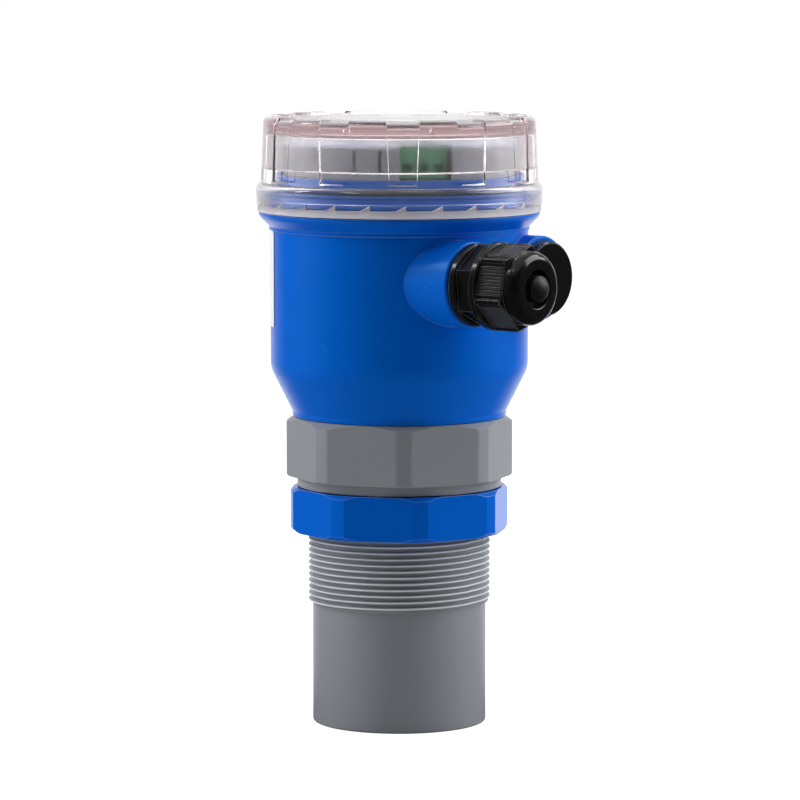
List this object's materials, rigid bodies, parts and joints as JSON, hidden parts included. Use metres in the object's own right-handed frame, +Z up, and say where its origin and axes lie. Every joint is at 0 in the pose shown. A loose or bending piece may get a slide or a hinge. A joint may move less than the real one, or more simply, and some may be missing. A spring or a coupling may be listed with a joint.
{
  "type": "ultrasonic level sensor",
  "caption": "Ultrasonic level sensor: blue housing with a clear screw cap, side cable gland and blind plug, grey threaded sensing tube and an octagonal lock nut.",
  "frame": {"origin": "centre of the round sensing face at the foot of the tube", "axes": "+Z up along the tube from the sensing face to the cap; +X the way both cable entries point"},
  "size_m": [0.1207, 0.093, 0.198],
  "materials": {
    "housing_blue": "glossy moulded plastic",
    "tube_grey": "satin moulded plastic",
    "face_grey": "smooth cast face",
    "clear": "clear moulded plastic",
    "label_white": "matt film",
    "gland_black": "satin moulded plastic",
    "rubber_black": "smooth rubber",
    "frame_grey": "satin moulded plastic",
    "board": "coated laminate",
    "lcd": "polished glass",
    "backlight": "white light guide",
    "key": "soft moulded key",
    "terminal_green": "glossy moulded plastic",
    "steel": "plated",
    "brass": "turned",
    "switch_black": "moulded",
    "core": "pressed core with taped winding",
    "can": "sleeved can",
    "piezo": "fired ceramic with silvered faces",
    "foam": "closed-cell foam",
    "resin": "cast resin",
    "lead": "wire insulation"
  },
  "bodies": {
    "base": {"transducer_body": "tube_grey", "matching_layer": "face_grey", "piezo_disc": "piezo", "backing_foam": "foam", "temperature_probe": "steel", "potting": "resin", "transducer_leads": "lead", "neck_seal": "rubber_black", "retaining_ring": "tube_grey", "housing": "housing_blue", "rating_label": "label_white", "display_frame": "frame_grey", "display_board": "board", "lcd_backlight": "backlight", "lcd_glass": "lcd", "tact_switches": "switch_black", "terminal_block": "terminal_green", "terminal_screws": "steel", "board_pillars": "brass", "main_board": "board", "board_screws": "steel", "pulse_transformer": "core", "board_capacitors": "can", "gland_body": "gland_black", "gland_seal_ring": "rubber_black"},
    "cap_ring": {"cap_seal": "rubber_black"},
    "cap": {"clear_cap": "clear"},
    "nut": {"lock_nut": "housing_blue"},
    "gland_core": {"gland_insert": "rubber_black", "gland_stopper": "rubber_black"},
    "gland_dome": {"gland_nut": "gland_black"},
    "plug_ring": {"blank_plug_seal": "rubber_black"},
    "plug": {"blank_plug": "gland_black"},
    "key_set": {"set_key": "key"},
    "key_down": {"down_key": "key"},
    "key_up": {"up_key": "key"},
    "key_enter": {"enter_key": "key"}
  },
  "joints": [
    {"name": "cap_lift", "type": "slide", "parent": "base", "child": "cap_ring", "axis": [0, 0, 1], "range_m": [0, 0.006]},
    {"name": "cap_turn", "type": "hinge", "parent": "cap_ring", "child": "cap", "pos_m": [0, 0, 0.1753], "axis": [0, 0, 1], "range_deg": [0, 720]},
    {"name": "gland_nut_travel", "type": "slide", "parent": "base", "child": "gland_core", "axis": [1, 0, 0], "range_m": [0, 0.0045]},
    {"name": "gland_nut_turn", "type": "hinge", "parent": "gland_core", "child": "gland_dome", "pos_m": [0.0541, -0.0175, 0.1464], "axis": [1, 0, 0], "range_deg": [0, 1080]},
    {"name": "plug_travel", "type": "slide", "parent": "base", "child": "plug_ring", "axis": [1, 0, 0], "range_m": [0, 0.0075]},
    {"name": "plug_turn", "type": "hinge", "parent": "plug_ring", "child": "plug", "pos_m": [0.0458, 0.0175, 0.1464], "axis": [1, 0, 0], "range_deg": [0, 1800]},
    {"name": "lock_nut_travel", "type": "slide", "parent": "base", "child": "nut", "axis": [0, 0, 1], "range_m": [-0.02, 0]},
    {"name": "set_key_press", "type": "slide", "parent": "base", "child": "key_set", "axis": [0, 0, 1], "range_m": [-0.0005, 0], "stiffness_N_per_m": 1200, "springref_m": 0.0004},
    {"name": "down_key_press", "type": "slide", "parent": "base", "child": "key_down", "axis": [0, 0, 1], "range_m": [-0.0005, 0], "stiffness_N_per_m": 1200, "springref_m": 0.0004},
    {"name": "up_key_press", "type": "slide", "parent": "base", "child": "key_up", "axis": [0, 0, 1], "range_m": [-0.0005, 0], "stiffness_N_per_m": 1200, "springref_m": 0.0004},
    {"name": "enter_key_press", "type": "slide", "parent": "base", "child": "key_enter", "axis": [0, 0, 1], "range_m": [-0.0005, 0], "stiffness_N_per_m": 1200, "springref_m": 0.0004}
  ],
  "couplings": [
    {"joint": "cap_turn", "follows": "cap_lift", "rad_per_m": 2094.4},
    {"joint": "gland_nut_turn", "follows": "gland_nut_travel", "rad_per_m": 4188.8},
    {"joint": "plug_turn", "follows": "plug_travel", "rad_per_m": 4188.8}
  ]
}
